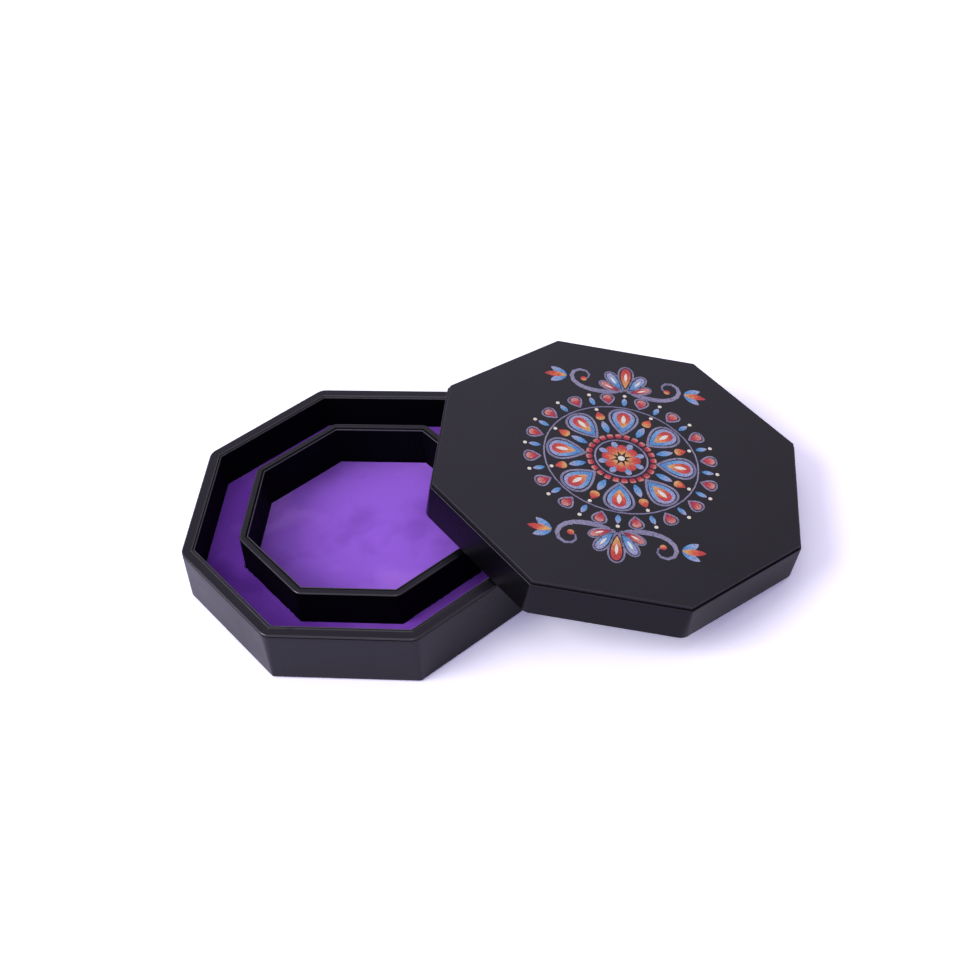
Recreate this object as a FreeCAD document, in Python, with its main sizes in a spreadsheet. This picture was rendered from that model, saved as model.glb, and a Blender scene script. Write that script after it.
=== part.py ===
import FreeCAD, Part

import math
import os
import re
from itertools import combinations

import Sketcher
from FreeCAD import Placement, Rotation, Vector

# Octagonal dice tray in leatherette over fibreboard: a tray with a low wall, a lower inner wall
# that makes a rolling well and a staging channel round it, and a slip-over lid that has been
# lifted off and leans on the tray's rim.  Millimetres; +Z is up, the origin is the centre of the
# tray's underside, and two of the tray's eight sides face +X and -X.

SIDES = 8
SIDE_TURN = 360.0 / SIDES
SLACK = 1e-6                  # heights closer than this are the same
THIN_TRIANGLE = 1.0           # three supports that span less than this are in line

# Driving dimensions.  Every name holds an underscore, which bound() relies on.
SIZES = {
    # leatherette, velvet and glue-in strips
    "skin_thick": 0.7,        # leatherette that wraps every wall
    "lining_thick": 0.7,      # strip glued round the inside of a wall
    "lining_drop": 1.0,       # the strip's free edge stands this far short of the wall's edge
    "velvet_thick": 1.1,
    "velvet_gap": 0.3,        # velvet panels are cut this much short of the walls
    # tray
    "tray_across": 205.0,     # outside, flat to flat
    "tray_height": 37.0,
    "tray_board": 5.0,        # wall board
    "base_board": 5.0,
    "cover_thick": 0.7,       # sheet glued under the tray
    "cover_inset": 2.0,       # from the tray's outside to the edge of that sheet
    "turn_under": 12.0,       # wrap turned in under the base board
    "riser_thick": 6.0,       # board that lifts the channel's floor
    "pad_thick": 2.0,         # card under the velvet of the well
    # inner wall
    "channel_width": 24.5,    # from the tray's lining to the inner wall's outside
    "ring_height": 30.9,      # above the base board
    "ring_board": 2.8,
    # corners: one rounding for the boards; the leatherette over them is pulled crisp at the
    # closed edge and stands round at the open edge
    "board_corner": 2.4,
    "corner_crisp": 0.9,
    "corner_round": 5.5,
    "rim_ease": 0.9,          # rounding along the open edge, outside
    # lid
    "lid_fit": 1.0,           # between the tray's outside and the lid's lining, each side
    "lid_board": 2.8,         # skirt board
    "lid_depth": 18.7,        # mouth to ceiling
    "deck_board": 2.8,        # board that closes the lid
    "turn_over": 14.0,        # wrap turned in on top of the deck
    "panel_board": 1.8,       # board of the raised top panel
    "panel_inset": 1.25,      # from the skirt's outside to the panel's edge
    "panel_ease": 0.5,
    # where the lid has been left
    "lid_middle_x": 145.8,
    "lid_middle_y": 27.6,
    "lid_turn": -1.0,         # degrees about its own middle
    "lean_gap": 0.05,         # between the lid and what it rests on
}

# Formulas that several pieces share.  Tray heights are above the table, lid heights above its mouth.
UNDER_BOARD = "(cover_thick + skin_thick)"
BASE_TOP = "(cover_thick + base_board)"
TRAY_INSIDE = "(tray_across - 2 * (2 * skin_thick + tray_board))"
TRAY_LINED = f"({TRAY_INSIDE} - 2 * lining_thick)"
RING_ACROSS = f"({TRAY_LINED} - 2 * channel_width)"
RING_INSIDE = f"({RING_ACROSS} - 2 * (2 * skin_thick + ring_board))"
RING_LINED = f"({RING_INSIDE} - 2 * lining_thick)"
LID_WALL = "(2 * skin_thick + lid_board + lining_thick)"
LID_ACROSS = f"(tray_across + 2 * (lid_fit + {LID_WALL}))"
LID_INSIDE = f"({LID_ACROSS} - 2 * (2 * skin_thick + lid_board))"
LID_LINED = f"({LID_INSIDE} - 2 * lining_thick)"
LID_CEILING = "(lid_depth + lining_thick)"
LID_DECK_TOP = f"({LID_CEILING} + deck_board)"
LID_LEDGE = f"({LID_DECK_TOP} + skin_thick)"
PANEL_ACROSS = f"({LID_ACROSS} - 2 * panel_inset)"

doc = FreeCAD.newDocument("DiceTray")
sheet = doc.addObject("Spreadsheet::Sheet", "Sizes")
for row, (alias, value) in enumerate(SIZES.items(), start=1):
    sheet.set(f"A{row}", alias)
    sheet.set(f"B{row}", str(value))
    sheet.setAlias(f"B{row}", alias)
doc.recompute()

parts = {}


def bound(formula):
    """Write a formula so that FreeCAD reads each size name from the sheet."""
    return re.sub(r"[a-z]+(?:_[a-z]+)+", lambda name: "Sizes." + name.group(), formula)


def measure(formula):
    """Work out a formula of size names as a plain number."""
    return float(sheet.evalExpression(bound(formula)))


def corner_radius(across):
    """Centre to corner of an octagon, as a formula of its width across flats."""
    return f"({across}) / 2 / cos({SIDE_TURN / 2} deg)"


def keep(node, thing, place=None):
    """Count a finished object as one of the part's pieces, and put it in its place."""
    thing.Label = node
    if place is not None:
        thing.Placement = place
    parts[node] = thing
    return thing


# ---- solids that the walls are cut from -------------------------------------------------------

def block(name, across, low, high):
    """Solid octagonal prism between two heights, with flats facing +X and -X."""
    prism = doc.addObject("Part::Prism", name)
    prism.Polygon = SIDES
    prism.Placement = Placement(Vector(), Rotation(Vector(0, 0, 1), SIDE_TURN / 2))
    prism.setExpression("Circumradius", bound(corner_radius(across)))
    prism.setExpression("Height", bound(f"{high} - {low}"))
    prism.setExpression("Placement.Base.z", bound(low))
    return prism


def draw_rounded_octagon(sketch, across, radius):
    """Draw an octagon with an arc at each corner; one width and one radius hold it all."""
    reach, arc_radius = measure(across) / 2, measure(radius)
    arc_middle = (reach - arc_radius) / math.cos(math.radians(SIDE_TURN / 2))
    half_side = arc_middle * math.sin(math.radians(SIDE_TURN / 2))
    for side in range(SIDES):
        turn = Rotation(Vector(0, 0, 1), SIDE_TURN * side)
        start, end = (turn.multVec(Vector(reach, end_y, 0)) for end_y in (-half_side, half_side))
        sketch.addGeometry(Part.LineSegment(start, end), False)
    for side in range(SIDES):
        facing = math.radians(SIDE_TURN * side)
        middle_turn = math.radians(SIDE_TURN * (side + 0.5))
        middle = Vector(arc_middle * math.cos(middle_turn), arc_middle * math.sin(middle_turn), 0)
        circle = Part.Circle(middle, Vector(0, 0, 1), arc_radius)
        arc = Part.ArcOfCircle(circle, facing, facing + math.radians(SIDE_TURN))
        sketch.addGeometry(arc, False)
    inner = sketch.addGeometry(Part.Circle(Vector(), Vector(0, 0, 1), reach), True)
    sketch.addConstraint(Sketcher.Constraint("Coincident", inner, 3, -1, 1))
    for side in range(SIDES):
        arc, after = SIDES + side, (side + 1) % SIDES
        sketch.addConstraint(Sketcher.Constraint("Tangent", side, 2, arc, 1))
        sketch.addConstraint(Sketcher.Constraint("Tangent", arc, 2, after, 1))
        sketch.addConstraint(Sketcher.Constraint("Tangent", side, inner))
        runs = math.radians(SIDE_TURN * side + 90)
        sketch.addConstraint(Sketcher.Constraint("Angle", side, runs))
    for side in range(1, SIDES):
        sketch.addConstraint(Sketcher.Constraint("Equal", SIDES, SIDES + side))
    for title, geometry, value in (("half_across", inner, f"({across}) / 2"), ("corner", SIDES, radius)):
        held = sketch.addConstraint(Sketcher.Constraint("Radius", geometry, measure(value)))
        sketch.renameConstraint(held, title)
        sketch.setExpression(f"Constraints.{title}", bound(value))


def lofted(name, sections):
    """PartDesign body that runs straight from one rounded octagon to the next, upwards."""
    body = doc.addObject("PartDesign::Body", name)
    sketches = []
    for number, (level, across, radius) in enumerate(sections, start=1):
        sketch = sketch_on_level(body, f"{name}_section_{number}", level)
        draw_rounded_octagon(sketch, across, radius)
        sketches.append(sketch)
    loft = body.newObject("PartDesign::AdditiveLoft", f"{name}_loft")
    loft.Profile = sketches[0]
    loft.Sections = sketches[1:]
    loft.Ruled = True
    return body


def joined(name, solids):
    """Fuse solids, as one tool for a cut."""
    fuse = doc.addObject("Part::MultiFuse", name)
    fuse.Shapes = solids
    return fuse


def cut(name, base, tool):
    """Take one solid out of another."""
    result = doc.addObject("Part::Cut", name)
    result.Base = base
    result.Tool = tool
    return result


def common(name, base, tool):
    """Keep what two solids share."""
    result = doc.addObject("Part::Common", name)
    result.Base = base
    result.Tool = tool
    return result


def timber(name, across, board, low, high, hollow_low, hollow_high):
    """Board of an octagonal shell with rounded corners, hollowed from one end."""
    wide = f"{across} - 2 * skin_thick"
    core = lofted(f"{name}_core", [(level, wide, "board_corner") for level in (low, high)])
    hollow = block(f"{name}_hollow", f"{across} - 2 * (skin_thick + {board})", hollow_low, hollow_high)
    return cut(f"{name}_timber", core, hollow)


def eased_sections(across, rim, inwards):
    """Sections of the rounding along an open edge, from the wall's face to the rim."""
    sections = []
    for turn in (0, SIDE_TURN, 2 * SIDE_TURN):
        rise = f"rim_ease * (1 - sin({turn} deg))"
        inset = f"rim_ease * (1 - cos({turn} deg))"
        level = f"({rim} {inwards} {rise})"
        sections.append((level, f"{across} - 2 * {inset}", f"corner_round - {inset}"))
    return sections


def wrap(name, across, board, low, high, wood, hollow_low, hollow_high, open_end_up, windows=()):
    """Leatherette drawn over the boards, round their open edge and down the far side."""
    if open_end_up:
        sections = [(low, across, "corner_crisp")] + eased_sections(across, high, "-")
    else:
        sections = eased_sections(across, low, "+")[::-1] + [(high, across, "corner_crisp")]
    outside = lofted(f"{name}_outside", sections)
    cavity = block(f"{name}_cavity", f"{across} - 2 * (2 * skin_thick + {board})", hollow_low, hollow_high)
    inside = joined(f"{name}_inside", [wood, cavity, *windows])
    return cut(f"{name}_wrap_cut", outside, inside)


def mitred_boards(name, node, wood, low, high, reach, place=None):
    """Eight wall boards with mitred ends: the timber that each sector holds."""
    for side in range(SIDES):
        sector = doc.addObject("Part::Cylinder", f"{name}_sector_{side + 1}")
        sector.Angle = SIDE_TURN
        turn = Rotation(Vector(0, 0, 1), SIDE_TURN * (side - 0.5))
        sector.Placement = Placement(Vector(), turn)
        sector.setExpression("Radius", bound(reach))
        sector.setExpression("Height", bound(f"{high} - {low}"))
        sector.setExpression("Placement.Base.z", bound(low))
        keep(f"{node}_{side + 1}", common(f"{name}_side_{side + 1}", wood, sector), place)


# ---- flat pieces, drawn and padded ------------------------------------------------------------

def draw_octagon(sketch, across, title):
    """Draw a regular octagon on a sketch, held by one radius that follows the sheet."""
    radius = measure(corner_radius(across))
    corners = []
    for turn in range(SIDES):
        angle = math.radians(SIDE_TURN * (turn - 0.5))
        corners.append(Vector(radius * math.cos(angle), radius * math.sin(angle), 0))
    first = sketch.GeometryCount
    for start, end in zip(corners, corners[1:] + corners[:1]):
        sketch.addGeometry(Part.LineSegment(start, end), False)
    ring = sketch.addGeometry(Part.Circle(Vector(), Vector(0, 0, 1), radius), True)
    for side in range(SIDES):
        line, after = first + side, first + (side + 1) % SIDES
        sketch.addConstraint(Sketcher.Constraint("Coincident", line, 2, after, 1))
        sketch.addConstraint(Sketcher.Constraint("PointOnObject", line, 1, ring))
    for side in range(1, SIDES):
        sketch.addConstraint(Sketcher.Constraint("Equal", first, first + side))
    sketch.addConstraint(Sketcher.Constraint("Coincident", ring, 3, -1, 1))
    sketch.addConstraint(Sketcher.Constraint("Vertical", first))
    held = sketch.addConstraint(Sketcher.Constraint("Radius", ring, radius))
    sketch.renameConstraint(held, title)
    sketch.setExpression(f"Constraints.{title}", bound(corner_radius(across)))


def sketch_on_level(body, name, level):
    """Sketch parallel to its body's XY plane, raised to a level."""
    plane = next(item for item in body.Origin.OriginFeatures if item.Role == "XY_Plane")
    sketch = body.newObject("Sketcher::SketchObject", name)
    sketch.AttachmentSupport = (plane, [""])
    sketch.MapMode = "FlatFace"
    sketch.setExpression("AttachmentOffset.Base.z", bound(level))
    return sketch


def plate(node, across, low, thick, hole=None, place=None):
    """Octagonal sheet or board as one padded sketch; with a hole it is a ring."""
    body = doc.addObject("PartDesign::Body", node)
    sketch = sketch_on_level(body, f"{node}_outline", low)
    draw_octagon(sketch, across, "outer_corner")
    if hole:
        draw_octagon(sketch, hole, "inner_corner")
    pad = body.newObject("PartDesign::Pad", f"{node}_pad")
    pad.Profile = sketch
    pad.setExpression("Length", bound(thick))
    doc.recompute()
    return keep(node, body, place)


def panel_cover(node, place):
    """Leatherette cap over the lid's panel board: padded, pocketed from below, edges eased."""
    body = plate(node, PANEL_ACROSS, LID_LEDGE, "panel_board + skin_thick")
    whole = body.Shape.Volume
    seat = sketch_on_level(body, f"{node}_seat", LID_LEDGE)
    draw_octagon(seat, f"{PANEL_ACROSS} - 2 * skin_thick", "seat_corner")
    pocket = body.newObject("PartDesign::Pocket", f"{node}_pocket")
    pocket.Profile = seat
    pocket.Reversed = True
    pocket.setExpression("Length", bound("panel_board"))
    doc.recompute()
    if body.Shape.Volume >= whole:
        raise RuntimeError("the panel cover's pocket took nothing out")
    top = measure(f"{LID_LEDGE} + panel_board + skin_thick")
    level = [f"Edge{number}" for number, edge in enumerate(pocket.Shape.Edges, start=1)
             if all(abs(vertex.Point.z - top) < SLACK for vertex in edge.Vertexes)]
    eased = body.newObject("PartDesign::Fillet", f"{node}_eased")
    eased.Base = (pocket, level)
    eased.setExpression("Radius", bound("panel_ease"))
    doc.recompute()
    return keep(node, body, place)


# ---- how the lid leans ------------------------------------------------------------------------

def corners_of(across, place):
    """Corners of an octagon that lies in a placed plane."""
    radius = measure(corner_radius(across))
    found = []
    for turn in range(SIDES):
        angle = math.radians(SIDE_TURN * (turn + 0.5))
        found.append(place.multVec(Vector(radius * math.cos(angle), radius * math.sin(angle), 0)))
    return found


def is_over(point, across):
    """Whether a point lies inside an octagon about the origin, seen from above."""
    turns = (math.radians(SIDE_TURN * side) for side in range(SIDES))
    return max(point.x * math.cos(turn) + point.y * math.sin(turn) for turn in turns) <= across / 2


def crossings(outline, other):
    """Points where two closed outlines cross, seen from above."""
    found = []
    for start, end in zip(outline, outline[1:] + outline[:1]):
        for low, high in zip(other, other[1:] + other[:1]):
            along, across, apart = end - start, high - low, low - start
            turned = along.x * across.y - along.y * across.x
            if turned == 0:
                continue
            share = (apart.x * across.y - apart.y * across.x) / turned
            other_share = (apart.x * along.y - apart.y * along.x) / turned
            if 0 <= share <= 1 and 0 <= other_share <= 1:
                found.append(start + along * share)
    return found


def supports(place):
    """Points of the lid's mouth that could rest on something, each with its resting height."""
    gap = measure("lean_gap")
    rim_height = measure("tray_height") + gap
    tray_across, lid_across = measure("tray_across"), measure(LID_ACROSS)
    mouth = (lid_across, lid_across - 2 * measure(LID_WALL))
    rim = corners_of(tray_across, Placement())
    found = [(corner, gap) for corner in corners_of(lid_across, place)]
    for across in mouth:
        outline = corners_of(across, place)
        on_rim = [corner for corner in outline if is_over(corner, tray_across)]
        found += [(point, rim_height) for point in on_rim + crossings(outline, rim)]
    back = place.inverse()
    for corner in rim:
        seen = back.multVec(Vector(corner.x, corner.y, rim_height))
        if is_over(seen, mouth[0]) and not is_over(seen, mouth[1]):
            found.append((corner, rim_height))
    return found


def plane_through(three):
    """Height at the lid's middle and the two slopes of the plane that rests on three supports."""
    middle_x, middle_y = measure("lid_middle_x"), measure("lid_middle_y")
    rows = [Vector(1, point.x - middle_x, point.y - middle_y) for point, height in three]
    heights = [height for point, height in three]
    spread = rows[0].dot(rows[1].cross(rows[2]))
    if abs(spread) < THIN_TRIANGLE:
        return None
    crossed = (rows[1].cross(rows[2]), rows[2].cross(rows[0]), rows[0].cross(rows[1]))
    total = sum((turned * height for turned, height in zip(crossed, heights)), Vector())
    return total / spread


def leaning_place():
    """Settle the lid on the three supports that hold its middle lowest, as a loose lid settles."""
    middle = Vector(measure("lid_middle_x"), measure("lid_middle_y"), 0)
    own_turn = Rotation(Vector(0, 0, 1), measure("lid_turn"))
    place = Placement(middle, own_turn)
    for _ in range(12):
        held = supports(place)
        best = None
        for three in combinations(held, 3):
            plane = plane_through(three)
            if plane is None or (best is not None and plane.x >= best.x):
                continue
            clear = all(plane.x + plane.y * (point.x - middle.x) + plane.z * (point.y - middle.y)
                        >= height - SLACK for point, height in held)
            if clear:
                best = plane
        normal = Vector(-best.y, -best.z, 1)
        lean = Rotation(Vector(0, 0, 1), normal)
        place = Placement(middle + Vector(0, 0, best.x), lean * own_turn)
    return place


# ---- tray -------------------------------------------------------------------------------------

def build_tray():
    """Base, wrapped wall, lining, and the floor of the channel."""
    wood = timber("tray", "tray_across", "tray_board", UNDER_BOARD, "(tray_height - skin_thick)",
                  BASE_TOP, "tray_height")
    window = block("tray_window", "tray_across - 2 * turn_under", "cover_thick", UNDER_BOARD)
    base_slab = block("base_slab", "tray_across", UNDER_BOARD, BASE_TOP)
    base = joined("base_board_fused", [common("base_board_top", wood, base_slab), window])
    keep("tray_base_board", base)
    keep("tray_wall_wrap", wrap("tray", "tray_across", "tray_board", "cover_thick", "tray_height", wood,
                                BASE_TOP, "(tray_height + rim_ease)", True, [window]))
    mitred_boards("tray", "tray_wall_board", wood, BASE_TOP, "tray_height", "tray_across")
    plate("tray_bottom_cover", "tray_across - 2 * cover_inset", "0 * cover_thick", "cover_thick")
    plate("tray_wall_lining", TRAY_INSIDE, BASE_TOP, f"tray_height - lining_drop - {BASE_TOP}",
          hole=TRAY_LINED)
    plate("channel_riser", TRAY_LINED, BASE_TOP, "riser_thick", hole=RING_ACROSS)
    plate("channel_velvet", f"{TRAY_LINED} - 2 * velvet_gap", f"{BASE_TOP} + riser_thick",
          "velvet_thick", hole=f"{RING_ACROSS} + 2 * velvet_gap")


def build_ring():
    """Inner wall that stands on the base board, and the floor of the well inside it."""
    top = f"({BASE_TOP} + ring_height)"
    wood = timber("ring", RING_ACROSS, "ring_board", BASE_TOP, f"({top} - skin_thick)",
                  BASE_TOP, top)
    keep("ring_wrap", wrap("ring", RING_ACROSS, "ring_board", BASE_TOP, top, wood,
                           BASE_TOP, f"({top} + rim_ease)", True))
    mitred_boards("ring", "ring_board", wood, BASE_TOP, top, RING_ACROSS)
    plate("ring_lining", RING_INSIDE, BASE_TOP, "ring_height - lining_drop", hole=RING_LINED)
    plate("well_pad", RING_LINED, BASE_TOP, "pad_thick")
    plate("well_velvet", f"{RING_LINED} - 2 * velvet_gap", f"{BASE_TOP} + pad_thick", "velvet_thick")


def build_lid(place):
    """Wrapped skirt, deck, raised top panel and the lining of the hollow."""
    wood = timber("lid", LID_ACROSS, "lid_board", "skin_thick", LID_DECK_TOP,
                  "0 * skin_thick", LID_CEILING)
    window = block("lid_window", f"{LID_ACROSS} - 2 * turn_over", LID_DECK_TOP, LID_LEDGE)
    keep("lid_skirt_wrap", wrap("lid", LID_ACROSS, "lid_board", "0 * skin_thick", LID_LEDGE, wood,
                                "(0 - rim_ease)", LID_CEILING, False, [window]), place)
    mitred_boards("lid", "lid_skirt_board", wood, "skin_thick", LID_CEILING, LID_ACROSS, place)
    deck_slab = block("deck_slab", LID_ACROSS, LID_CEILING, LID_LEDGE)
    keep("lid_deck_board", common("deck_board_cut", wood, deck_slab), place)
    plate("lid_side_lining", LID_INSIDE, "lining_drop", f"{LID_CEILING} - lining_drop",
          hole=LID_LINED, place=place)
    plate("lid_ceiling_lining", LID_LINED, "lid_depth", "lining_thick", place=place)
    plate("lid_panel_board", f"{PANEL_ACROSS} - 2 * skin_thick", LID_LEDGE, "panel_board", place=place)
    panel_cover("lid_panel_cover", place)


def check_and_write():
    """Stop at any failed feature or bad solid, then write one file for each piece."""
    doc.recompute()
    for item in doc.Objects:
        failed = [state for state in item.State if state in ("Invalid", "Error")]
        if failed:
            raise RuntimeError(f"{item.Name} is {failed}")
    for node, piece in parts.items():
        if piece.Shape.isNull() or not piece.Shape.isValid() or not piece.Shape.Solids:
            raise RuntimeError(f"{node} has no sound solid")
    os.makedirs("parts", exist_ok=True)
    for node, piece in parts.items():
        piece.Shape.exportStep(f"parts/{node}.step")
    print(f"{len(parts)} pieces written")


build_tray()
build_ring()
build_lid(leaning_place())
check_and_write()
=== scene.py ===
"""Looks of an octagonal dice tray in black leatherette with purple velvet floors.

The tray stands flat.  Its slip-over lid has been lifted off and leans on the tray's rim.  Lengths
are millimetres while a piece is being made and metres once it is in place.
"""
import logging
import math
from collections.abc import Iterable, Sequence
from dataclasses import dataclass
from enum import Enum

import bmesh
import bpy
from mathutils import Matrix, Quaternion, Vector, noise


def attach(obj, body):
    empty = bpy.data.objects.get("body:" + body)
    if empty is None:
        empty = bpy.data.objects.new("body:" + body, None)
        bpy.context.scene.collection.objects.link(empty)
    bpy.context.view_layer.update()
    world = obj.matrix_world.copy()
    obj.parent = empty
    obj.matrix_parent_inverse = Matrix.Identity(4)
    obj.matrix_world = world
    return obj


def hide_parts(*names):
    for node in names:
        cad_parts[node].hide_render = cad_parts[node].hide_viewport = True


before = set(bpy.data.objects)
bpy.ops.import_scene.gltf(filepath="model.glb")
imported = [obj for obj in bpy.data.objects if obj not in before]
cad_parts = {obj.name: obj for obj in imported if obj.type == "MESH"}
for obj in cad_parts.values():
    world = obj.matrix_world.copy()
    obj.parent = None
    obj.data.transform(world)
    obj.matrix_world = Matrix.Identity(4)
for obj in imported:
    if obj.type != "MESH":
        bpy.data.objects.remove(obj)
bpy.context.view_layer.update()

log = logging.getLogger("dice_tray")

MM = 0.001
SIDES = 8
SIDE_TURN = math.tau / SIDES
HALF_TURN = SIDE_TURN / 2
CORNER_STEPS = 8           # faces round each corner
SKIN = 0.7                 # leatherette
LINING = 0.7               # strips glued inside the walls
FOLDED = 0.3               # corner radius of cloth that is folded sharp
SHARPEST = 0.15            # smallest corner radius
TOUCHING = 1e-4            # points closer than this are one
RUN = "run"                # attribute: 0 at a printed motif's root, 1 at its tip
CARDS = ("well_pad", "channel_riser")

Colour = tuple[float, float, float]
Spot = tuple[float, float, float]          # a place or a direction
Stops = Sequence[tuple[float, Colour]]     # colours, with where each stands from 0 to 1


class Body(Enum):
    """Bodies of the frame that a piece can ride on."""

    TRAY = "tray"
    LID = "lid"


class Slot(Enum):
    """Material slots of the record."""

    TRAY_SKIN = "tray_leatherette"
    LID_SKIN = "lid_leatherette"
    PRINTED = "printed_leatherette"
    VELVET = "velvet"
    UNDERSIDE = "underside_sheet"


class Zone(Enum):
    """Parts of a surface that can differ in finish."""

    WALL = 0            # upright sides
    TOP = 1             # level faces
    RIM_EDGE = 2        # rounding along the outside of the open edge
    BASE_EDGE = 3       # rounding along the closed end
    CREASE = 4          # crease beside the rim's outer rounding
    LIP = 5             # crease beside its inner rounding
    INNER_EDGE = 6      # rounding into the inside


# ---- materials ---------------------------------------------------------------------------------

class Mix:
    """Shader nodes while they are being joined."""

    def __init__(self, holder: bpy.types.Material | bpy.types.World) -> None:
        """Open the nodes of a material or of the world."""
        holder.use_nodes = True
        self.tree = holder.node_tree

    def node(self, kind: str, inputs: dict | None = None, **settings: object) -> bpy.types.Node:
        """Add a node.

        Args:
            kind: Blender's name for the type of node.
            inputs: socket names with a value, or with the output that feeds them.
            **settings: properties of the node itself.

        Returns:
            The new node.
        """
        made = self.tree.nodes.new(kind)
        for name, value in settings.items():
            setattr(made, name, value)
        self.feed(made, inputs or {})
        return made

    def feed(self, target: bpy.types.Node, inputs: dict) -> None:
        """Set or join sockets of a node.

        Args:
            target: the node whose sockets are meant.
            inputs: socket names or numbers with a value, or with the output that feeds them.
        """
        for name, value in inputs.items():
            if isinstance(value, bpy.types.NodeSocket):
                self.tree.links.new(value, target.inputs[name])
            else:
                target.inputs[name].default_value = value

    def blended(self, share: bpy.types.NodeSocket, stops: Stops) -> bpy.types.NodeSocket:
        """Turn a value into a colour.

        Args:
            share: the value, from 0 to 1.
            stops: where each colour stands on that scale.

        Returns:
            The colour.
        """
        made = self.node("ShaderNodeValToRGB", {"Fac": share})
        ramp = made.color_ramp
        for number, (at, colour) in enumerate(stops):
            stop = ramp.elements[number] if number < 2 else ramp.elements.new(at)
            stop.position, stop.color = at, (*colour, 1.0)
        return made.outputs["Color"]

    def chosen(self, share: bpy.types.NodeSocket, first: bpy.types.Node,
               second: bpy.types.Node) -> bpy.types.Node:
        """Let a value choose between two shaders: at 0 the first, at 1 the second."""
        return self.node("ShaderNodeMixShader", {0: share, 1: first.outputs[0],
                                                 2: second.outputs[0]})


class Recipe(Mix):
    """A material while it is being mixed."""

    def __init__(self, name: str) -> None:
        """Start a plain material.

        Args:
            name: what the material is called.
        """
        self.material = bpy.data.materials.new(name)
        super().__init__(self.material)
        self.shader = self.tree.nodes["Principled BSDF"]
        self.place = self.node("ShaderNodeTexCoord").outputs["Object"]

    def cloud(self, scale: float, detail: float = 2.0, warp: float = 0.0,
              place: bpy.types.NodeSocket | None = None) -> bpy.types.NodeSocket:
        """Add a noise texture on the piece's own coordinates.

        Args:
            scale: waves to the metre.
            detail: how many finer layers are added.
            warp: how strongly the noise bends itself.
            place: coordinates to use in place of the piece's own.

        Returns:
            The noise's value, from 0 to 1.
        """
        made = self.node("ShaderNodeTexNoise", {"Vector": place or self.place, "Scale": scale,
                                                "Detail": detail, "Distortion": warp})
        return made.outputs["Fac"]

    def spread(self, value: bpy.types.NodeSocket, source: tuple[float, float],
               target: tuple[float, float]) -> bpy.types.NodeSocket:
        """Stretch a value from one range to another.

        Args:
            value: the value to stretch.
            source: lowest and highest value that come in.
            target: what those two become.

        Returns:
            The stretched value.
        """
        made = self.node("ShaderNodeMapRange", {
            "Value": value, "From Min": source[0], "From Max": source[1],
            "To Min": target[0], "To Max": target[1]})
        return made.outputs["Result"]

    def raised(self, height: bpy.types.NodeSocket, depth: float, strength: float = 1.0,
               under: bpy.types.NodeSocket | None = None) -> bpy.types.NodeSocket:
        """Add relief that only the light sees.

        Args:
            height: the relief, from 0 to 1.
            depth: what a height of 1 stands for, in metres.
            strength: share of the effect.
            under: relief that this one lies on.

        Returns:
            The bent normal.
        """
        inputs = {"Height": height, "Distance": depth, "Strength": strength}
        if under is not None:
            inputs["Normal"] = under
        return self.node("ShaderNodeBump", inputs).outputs["Normal"]


@dataclass(frozen=True)
class Leatherette:
    """Black coated cloth with a fine pebble grain.

    Attributes:
        name: what the material is called.
        valley_painted_shade: colour in the grain's valleys, darker there as painted shade.
        high: colour on its crowns.
        gloss: lowest and highest roughness.
        specular: how strongly it reflects.
        tint: colour of what it reflects.
        pebbles: grains to the metre.
        depth: depth of the grain in metres.
    """

    name: str
    valley_painted_shade: Colour
    high: Colour
    gloss: tuple[float, float]
    specular: float
    tint: Colour
    pebbles: float
    depth: float

    def material(self) -> bpy.types.Material:
        """Mix the finish.

        Returns:
            The material.
        """
        mix = Recipe(self.name)
        grain = mix.node("ShaderNodeTexVoronoi", {"Vector": mix.place, "Scale": self.pebbles},
                         feature="SMOOTH_F1").outputs["Distance"]
        crease = mix.cloud(self.pebbles * 0.35, 3.0, 0.6)
        drift = mix.cloud(38.0, 2.0)
        skin = mix.raised(crease, self.depth * 1.5, 0.5)
        # Painted shade: the base colour follows the same noise as the creases' relief, darker where
        # that relief is low.
        mix.feed(mix.shader, {
            "Base Color": mix.blended(crease, ((0.3, self.valley_painted_shade), (0.7, self.high))),
            "Roughness": mix.spread(drift, (0.3, 0.7), self.gloss),
            "Specular IOR Level": self.specular,
            "Specular Tint": (*self.tint, 1.0),
            "Normal": mix.raised(grain, self.depth, 0.6, skin)})
        return mix.material


@dataclass(frozen=True)
class Velvet:
    """Short-pile velvet whose nap has been stroked in soft patches.

    Attributes:
        name: what the material is called.
        against: colour where the nap leans away.
        along: colour of the cloth at rest.
        brushed: colour where the nap has been stroked up.
        sheen: strength of the pile's sheen.
        sheen_colour: colour of that sheen.
    """

    name: str
    against: Colour
    along: Colour
    brushed: Colour
    sheen: float
    sheen_colour: Colour

    def material(self) -> bpy.types.Material:
        """Mix the finish.

        Returns:
            The material.
        """
        mix = Recipe(self.name)
        patches = mix.cloud(13.0, 2.0, 0.4)
        strokes = mix.cloud(45.0, 2.0, 0.8)
        sway = mix.spread(strokes, (0.3, 0.7), (-0.06, 0.06))
        nap = mix.node("ShaderNodeMath", {0: patches, 1: sway}, operation="ADD").outputs["Value"]
        fibres = mix.cloud(5200.0, 2.0)
        tufts = mix.cloud(900.0, 3.0, 0.5)
        mix.feed(mix.shader, {
            "Base Color": mix.blended(nap, ((0.3, self.against), (0.47, self.along),
                                            (0.56, self.along), (0.68, self.brushed))),
            "Roughness": mix.spread(tufts, (0.3, 0.7), (0.85, 1.0)),
            "Specular IOR Level": 0.06,
            "Sheen Weight": self.sheen,
            "Sheen Roughness": 0.4,
            "Sheen Tint": (*self.sheen_colour, 1.0),
            "Normal": mix.raised(fibres, 0.00012, 0.5, mix.raised(tufts, 0.0002, 0.35))})
        return mix.material


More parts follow.
